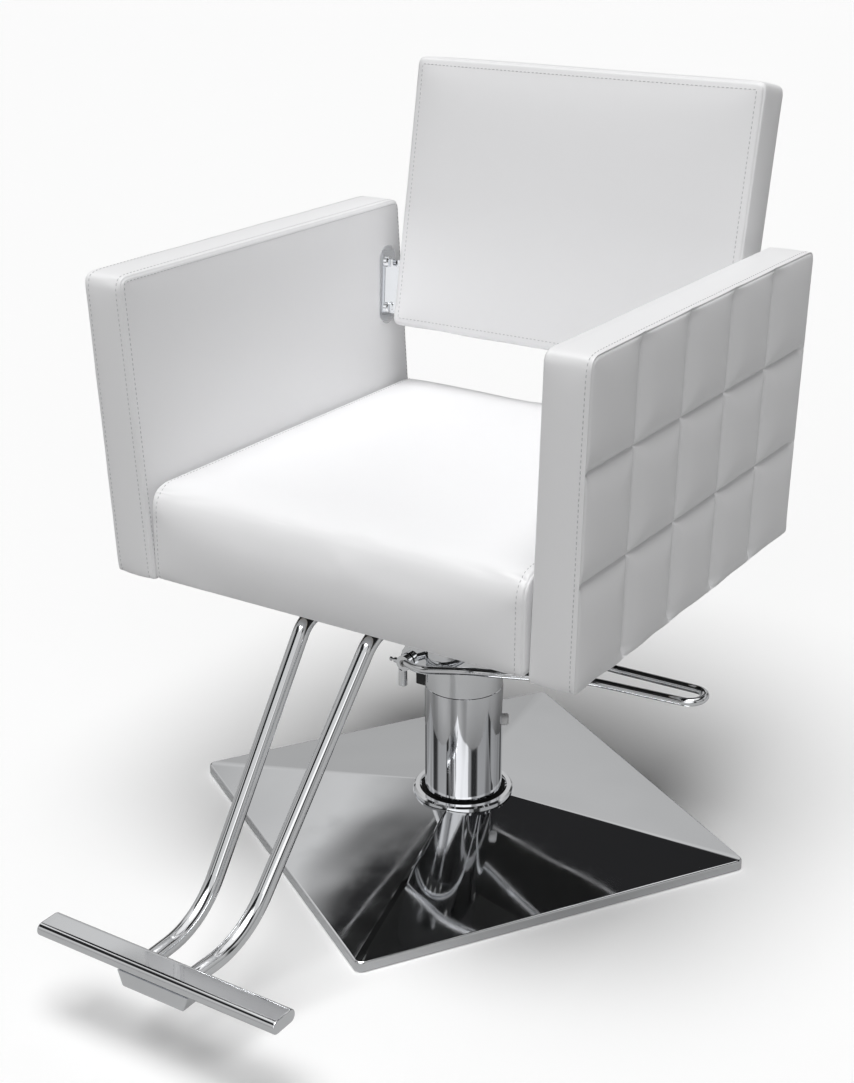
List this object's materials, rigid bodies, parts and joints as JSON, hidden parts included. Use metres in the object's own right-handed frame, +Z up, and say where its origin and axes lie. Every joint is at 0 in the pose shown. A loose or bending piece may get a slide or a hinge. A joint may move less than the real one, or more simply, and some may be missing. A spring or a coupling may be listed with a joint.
{
  "type": "styling chair",
  "caption": "Hydraulic salon styling chair with padded box arms, floating tilted backrest, bent-tube footrest, foot pump lever and square pyramid base.",
  "frame": {"origin": "on the floor, on the swivel and lift axis", "axes": "+Z up, -Y the way the sitter faces, +X to the right of someone standing in front of the chair; the base is turned 32 degrees clockwise about +Z, seen from above"},
  "size_m": [0.696, 0.9415, 0.905],
  "materials": {
    "white_leatherette": "satin",
    "chrome": "polished",
    "black_steel": "satin",
    "machined_steel": "satin",
    "zinc_fasteners": "satin",
    "black_rubber": "matte",
    "plywood": "matte",
    "bronze": "satin",
    "black_cast": "satin",
    "nylon": "matte",
    "white_plastic": "gloss",
    "black_lining": "matte"
  },
  "bodies": {
    "base": {"floor_pad": "black_rubber", "ballast_plate": "black_steel", "base_ribs": "black_steel", "base_cover": "chrome", "column_flange": "black_steel", "flange_bolts": "zinc_fasteners", "base_ring": "chrome", "ring_bumper": "black_rubber", "column_cylinder": "machined_steel", "cylinder_bush": "bronze", "wiper_seal": "black_rubber", "gland_nut": "machined_steel"},
    "ram": {"ram_rod": "machined_steel", "piston": "machined_steel", "piston_seal": "black_rubber", "bearing_lower_race": "machined_steel"},
    "seat_unit": {"arm_bolts": "zinc_fasteners", "backrest_board": "plywood", "backrest_cushion": "white_leatherette", "bearing_balls": "machined_steel", "bearing_upper_race": "machined_steel", "bracket_bolts": "chrome", "bracket_screws": "zinc_fasteners", "clamp_bolts": "zinc_fasteners", "cover_tube": "chrome", "footrest_bar": "chrome", "footrest_bolts": "zinc_fasteners", "footrest_bracket": "chrome", "footrest_clamp": "black_steel", "footrest_end_caps": "chrome", "guide_bush": "nylon", "head_bolts": "zinc_fasteners", "left_arm_core": "plywood", "left_arm_lining": "black_lining", "left_arm_pad": "white_leatherette", "left_back_bracket": "chrome", "left_footrest_tube": "chrome", "plate_bolts": "zinc_fasteners", "plunger_barrel": "black_cast", "plunger_boot": "black_rubber", "pump_head": "chrome", "right_arm_core": "plywood", "right_arm_lining": "black_lining", "right_arm_pad": "white_leatherette", "right_back_bracket": "chrome", "right_footrest_tube": "chrome", "seat_board": "plywood", "seat_cushion": "white_leatherette", "seat_dust_cover": "black_lining", "seat_frame": "black_steel", "seat_rails": "plywood", "top_plate": "black_steel", "tube_screw": "white_plastic"},
    "lever": {"pump_lever_loop": "chrome", "lever_pivot_pin": "machined_steel", "pump_finger": "machined_steel", "return_springs": "machined_steel", "stop_screw": "chrome", "grease_nipple": "chrome"},
    "plunger": {"pump_plunger": "machined_steel"}
  },
  "joints": [
    {"name": "seat_lift", "type": "slide", "parent": "base", "child": "ram", "axis": [0, 0, 1], "range_m": [0, 0.15]},
    {"name": "seat_swivel", "type": "hinge", "parent": "ram", "child": "seat_unit", "pos_m": [0, 0, 0], "axis": [0, 0, 1], "continuous": true},
    {"name": "pump_lever", "type": "hinge", "parent": "seat_unit", "child": "lever", "pos_m": [-0.072, 0, 0.21], "axis": [0, 1, 0], "range_deg": [-6, 20], "stiffness_Nm_per_rad": 20, "springref_deg": -1.72},
    {"name": "plunger_slide", "type": "slide", "parent": "seat_unit", "child": "plunger", "axis": [0, 0, 1], "range_m": [-0.0052, 0.0018], "deforming": ["plunger_boot"]}
  ],
  "couplings": [
    {"joint": "plunger_slide", "follows": "pump_lever", "m_per_rad": -0.014}
  ]
}
